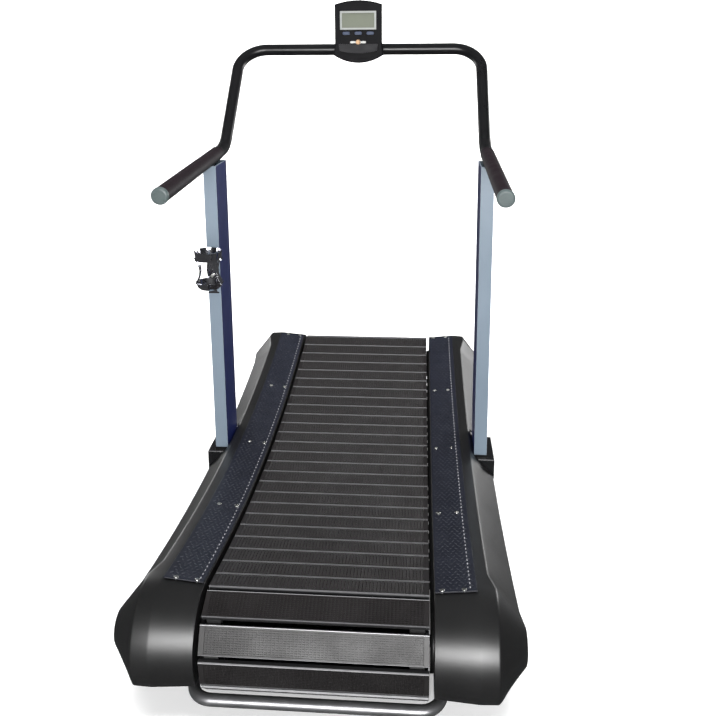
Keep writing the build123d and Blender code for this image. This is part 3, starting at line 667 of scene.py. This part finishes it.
# Console ----------------------------------------------------------------------
# A small counter in a two-part moulded housing, clamped on the crossbar so that it
# can be tilted, with a silver bezel, three rubber buttons and a ledge.
console_black = make_finish("Console black", (0.0045, 0.0045, 0.0055), 0.55, variation=0.16,
                            cloud=26.0, grain=1500.0, gleam=0.10, bump=0.14, edge=0.001,
                            edge_highlight_color=(0.03, 0.03, 0.034))
dress(console_black, "console_clamp", "console_back", "console_front", "battery_cover")
smoky = make_finish("Smoky ledge plastic", (0.007, 0.007, 0.009), 0.40, cloud=30.0, bump=0.05,
                    gleam=0.14, edge=0.0012, edge_highlight_color=(0.12, 0.12, 0.13))
dress(smoky, "console_tray")
bezel_silver = make_finish("Bezel silver", (0.27, 0.28, 0.27), 0.5, variation=0.06, cloud=40.0,
                           metallic=0.3, gleam=0.2, bump=0.04)
dress(bezel_silver, "display_bezel")
display_grey = make_finish("Display film", (0.125, 0.137, 0.103), 0.42, variation=0.08,
                           cloud=20.0, bump=0.02, gleam=0.2)
dress(display_grey, "display_window")
board_green = make_finish("Circuit board", (0.03, 0.15, 0.06), 0.5, variation=0.2, cloud=60.0,
                          bump=0.2)
dress(board_green, "circuit_board")
button_rubber = make_finish("Button rubber", (0.030, 0.045, 0.09), 0.55, variation=0.1,
                            cloud=50.0, bump=0.12)
dress(button_rubber, "left_button", "middle_button", "right_button")
brass = make_finish("Wing screw metal", (0.42, 0.27, 0.16), 0.5, cloud=60.0, metallic=0.5,
                    gleam=0.3, bump=0.05)
wing_low, wing_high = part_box("console_wing_screw")
wing_x = (wing_low.x + wing_high.x) / 2
wing_z = joint_place["wing_screw_turn"][2]
boss_step_y = 0.4592
boss_rings = [(wing_high.y, 0.0028), (boss_step_y, 0.0028), (boss_step_y, 0.0088),
              (wing_low.y + 0.002, 0.0080), (wing_low.y, 0.0062)]
boss_sides = 24
last_ring = boss_sides * (len(boss_rings) - 1)
boss_points, boss_faces = [], []
for y, radius in boss_rings:
    for step in range(boss_sides):
        turn = 2 * math.pi * step / boss_sides
        boss_points.append((wing_x + radius * math.cos(turn), y,
                            wing_z + radius * math.sin(turn)))
for ring in range(0, last_ring, boss_sides):
    for step in range(boss_sides):
        after = (step + 1) % boss_sides
        boss_faces.append((ring + step, ring + after, ring + boss_sides + after,
                           ring + boss_sides + step))
boss_faces.append(tuple(range(boss_sides)))
boss_faces.append(tuple(reversed(range(last_ring, last_ring + boss_sides))))
boss = make_piece("wing_screw_boss", boss_points, boss_faces, brass, body="wing_screw",
                  slot="brass", replaces=["console_wing_screw"])
finish_smooth(boss)
wing_silver = make_finish("Wing silver", (0.30, 0.30, 0.29), 0.45, cloud=60.0, metallic=0.6,
                          bump=0.05, gleam=0.4)
wing_rows = [(-1.0, 0.0018), (-0.92, 0.0034), (-0.7, 0.0036), (-0.3, 0.0028), (0.3, 0.0028),
             (0.7, 0.0036), (0.92, 0.0034), (1.0, 0.0018)]
wing_reach = (wing_high.x - wing_low.x) / 2
wing_back, wing_front = 0.4585, wing_low.y + 0.005
last_row = 4 * (len(wing_rows) - 1)
wing_points, wing_faces = [], []
for share, half in wing_rows:
    for y, z in ((wing_back, -half), (wing_front, -half), (wing_front, half), (wing_back, half)):
        wing_points.append((wing_x + share * wing_reach, y, wing_z + z))
for row in range(0, last_row, 4):
    for corner in range(4):
        after = (corner + 1) % 4
        wing_faces.append((row + after, row + corner, row + 4 + corner, row + 4 + after))
wing_faces.append((0, 1, 2, 3))
wing_faces.append(tuple(last_row + corner for corner in (3, 2, 1, 0)))
make_piece("wing_screw_wings", wing_points, wing_faces, wing_silver, body="wing_screw",
           slot="brass")
cell_wrap = make_finish("Battery wrap", (0.06, 0.06, 0.07), 0.35, variation=0.1, cloud=40.0,
                        bump=0.05)
dress(cell_wrap, "batteries")

# Bottle cage ------------------------------------------------------------------
# A holder pressed and bent from steel strip, black chromed: a ring above, a cup
# below, two side straps between them and a stem screwed to the left post.
black_chrome = make_finish("Black chrome", (0.60, 0.60, 0.63), 0.12, variation=0.1, spread=0.05,
                           cloud=30.0, metallic=1.0, bump=0.04)
cage_low, cage_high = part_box("bottle_cage")
cage_x = (cage_low.x + cage_high.x) / 2
cage_radius = (cage_high.x - cage_low.x) / 2
cage_y = cage_low.y + cage_radius
cage_back = cage_high.y
cage_wall, stem_wall = 0.0024, 0.003
band_steps, strap_steps = 48, 12
cup_low, cup_floor, cup_top = 0.700, 0.706, 0.722
ring_lip, ring_low = 0.789, 0.795
strap_low = 0.716
cage_points, cage_faces = [], []


def add_strip(rows, closed=False):
    """Solid strip through rows of four section corners each."""
    first = len(cage_points)
    for row in rows:
        cage_points.extend(row)
    last = len(rows) if closed else len(rows) - 1
    for index in range(last):
        near = first + 4 * index
        far = first + 4 * ((index + 1) % len(rows))
        for corner in range(4):
            after = (corner + 1) % 4
            cage_faces.append((near + corner, near + after, far + after, far + corner))
    if not closed:
        cage_faces.append((first + 3, first + 2, first + 1, first))
        end = first + 4 * (len(rows) - 1)
        cage_faces.append((end, end + 1, end + 2, end + 3))


def add_band(low, high, low_radius, high_radius, wall):
    """Closed pressed band between two heights."""
    rows = []
    for step in range(band_steps):
        turn = 2 * math.pi * step / band_steps
        row = []
        for radius, height in ((low_radius - wall, low), (low_radius, low), (high_radius, high),
                               (high_radius - wall, high)):
            row.append((cage_x + radius * math.cos(turn), cage_y + radius * math.sin(turn),
                        height))
        rows.append(row)
    add_strip(rows, closed=True)


add_band(ring_low, cage_high.z, cage_radius - 0.003, cage_radius, cage_wall)
add_band(ring_lip, ring_low, cage_radius, cage_radius - 0.003, cage_wall + 0.001)
add_band(cup_floor, cup_top, cage_radius - 0.007, cage_radius - 0.001, cage_wall)
add_band(cup_low, cup_floor, cage_radius - 0.014, cage_radius - 0.007, cage_wall)
for side in (-1, 1):
    rows = []
    for step in range(strap_steps + 1):
        share = step / strap_steps
        reach = cage_radius - 0.004 - 0.013 * math.sin(math.pi * share)
        height = strap_low + share * (ring_low - strap_low)
        half = 0.010 + 0.006 * abs(2 * share - 1)
        near = cage_x + side * reach
        far = near + side * cage_wall
        rows.append([(near, cage_y - half, height), (far, cage_y - half, height),
                     (far, cage_y + half, height), (near, cage_y + half, height)])
    add_strip(rows if side < 0 else [row[::-1] for row in rows])
stem_outline = [(cage_low.z, 0.017), (cage_low.z + 0.003, 0.017), (cage_low.z + 0.006, 0.011),
                (cup_low, 0.010), (0.716, 0.015), (0.745, 0.019), (0.775, 0.015),
                (cage_high.z - 0.004, 0.013)]
stem_front = cage_back - stem_wall
rows = []
for height, half in stem_outline:
    rows.append([(cage_x - half, stem_front, height), (cage_x + half, stem_front, height),
                 (cage_x + half, cage_back, height), (cage_x - half, cage_back, height)])
add_strip(rows)
cage = make_piece("bottle_cage_pressing", cage_points, cage_faces, black_chrome, slot="cage",
                  replaces=["bottle_cage"])
finish_smooth(cage, 32.0)

# Wheels and feet --------------------------------------------------------------
# Rubber transport wheels on zinc plated axles, and four levelling feet screwed up
# into the runners.
foot_rubber = make_finish("Foot rubber", (0.025, 0.025, 0.026), 0.6, variation=0.2, cloud=50.0,
                          bump=0.2)
dress(foot_rubber, "rear_left_foot", "rear_right_foot", "front_left_foot", "front_right_foot",
      "left_transport_wheel", "right_transport_wheel")

# Studio -----------------------------------------------------------------------
# A seamless white sweep. Soft lights hang overhead, behind the machine, over the
# backdrop and on both sides in front; the camera stands behind at head height.
curve_start, curve_radius, curve_steps = 3.5, 2.5, 16
sweep_near, sweep_high, sweep_half = -9.0, 9.0, 12.0
profile = [(sweep_near, 0.0), (curve_start, 0.0)]
for step in range(1, curve_steps + 1):
    turn = math.pi / 2 * step / curve_steps
    profile.append((curve_start + curve_radius * math.sin(turn),
                    curve_radius - curve_radius * math.cos(turn)))
profile.append((curve_start + curve_radius, sweep_high))
stage_points = [(x, y, z) for y, z in profile for x in (-sweep_half, sweep_half)]
stage_faces = [(first, first + 1, first + 3, first + 2)
               for first in range(0, 2 * len(profile) - 2, 2)]
sweep_mesh = bpy.data.meshes.new("studio_sweep")
sweep_mesh.from_pydata(stage_points, [], stage_faces)
sweep_mesh.polygons.foreach_set("use_smooth", [True] * len(sweep_mesh.polygons))
sweep = bpy.data.objects.new("studio_sweep", sweep_mesh)
bpy.context.collection.objects.link(sweep)
sweep_white = make_finish("Sweep white", (0.86, 0.86, 0.86), 0.9, variation=0.004, cloud=1.0,
                          bump=0.0)
sweep_mesh.materials.append(sweep_white)
sweep.visible_glossy = False
sweep_tree = sweep_white.node_tree
sweep_seen = new_node(sweep_tree, "ShaderNodeLightPath").outputs["Is Camera Ray"]
sweep_glow = math_node(sweep_tree, "MULTIPLY", sweep_seen, 0.30)
sweep_shader = sweep_tree.nodes["Principled BSDF"]
sweep_shader.inputs["Emission Color"].default_value = (1, 1, 1, 1)
join(sweep_tree, sweep_glow, sweep_shader.inputs["Emission Strength"])


def make_light(name, place, aim, width, height, power):
    """A soft rectangular light."""
    lamp = bpy.data.lights.new(name, "AREA")
    lamp.shape = "RECTANGLE"
    lamp.size = width
    lamp.size_y = height
    lamp.energy = power
    light = bpy.data.objects.new(name, lamp)
    light.location = place
    light.rotation_euler = (Vector(aim) - Vector(place)).to_track_quat("-Z", "Y").to_euler()
    bpy.context.collection.objects.link(light)
    return light


overhead, backdrop = 0, 2
lights = [
    make_light("overhead_softbox", (0.0, 0.4, 4.2), (0.0, 0.2, 0.2), 5.0, 5.0, 420),
    make_light("rear_key_softbox", (0.3, -4.6, 1.35), (0.1, -0.6, 0.4), 3.0, 1.5, 240),
    make_light("backdrop_light", (0.0, 1.2, 4.2), (0.0, 6.0, 2.2), 8.0, 1.2, 520),
    make_light("front_right_softbox", (2.9, 3.0, 1.1), (0.3, -0.3, 0.2), 1.2, 1.6, 55),
    make_light("front_left_softbox", (-2.9, 3.0, 1.1), (-0.3, -0.3, 0.2), 1.2, 1.6, 35),
]
lights[overhead].visible_glossy = False
lights[backdrop].visible_glossy = False
for light in lights:
    light.visible_camera = False
world = bpy.data.worlds.new("studio air")
world.use_nodes = True
background = world.node_tree.nodes["Background"]
background.inputs["Color"].default_value = (0.95, 0.97, 1.0, 1)
air = world.node_tree
seen = new_node(air, "ShaderNodeLightPath").outputs["Is Camera Ray"]
strength = math_node(air, "ADD", math_node(air, "MULTIPLY", seen, 0.98), 0.07)
join(air, strength, background.inputs["Strength"])
bpy.context.scene.world = world
bpy.context.scene.view_settings.view_transform = "Standard"

camera_data = bpy.data.cameras.new("camera")
camera_data.sensor_width = 36
camera_data.lens = 41.0
camera_data.shift_y = -0.195
camera = bpy.data.objects.new("camera", camera_data)
yaw, pitch, roll = math.radians(4.52), math.radians(12.21), math.radians(-0.41)
camera.matrix_world = (
    Matrix.Translation((0.214, -2.310, 1.407))
    @ Matrix.Rotation(yaw, 4, "Z")
    @ Matrix.Rotation(math.pi / 2 - pitch, 4, "X")
    @ Matrix.Rotation(roll, 4, "Z")
)
bpy.context.collection.objects.link(camera)
bpy.context.scene.camera = camera
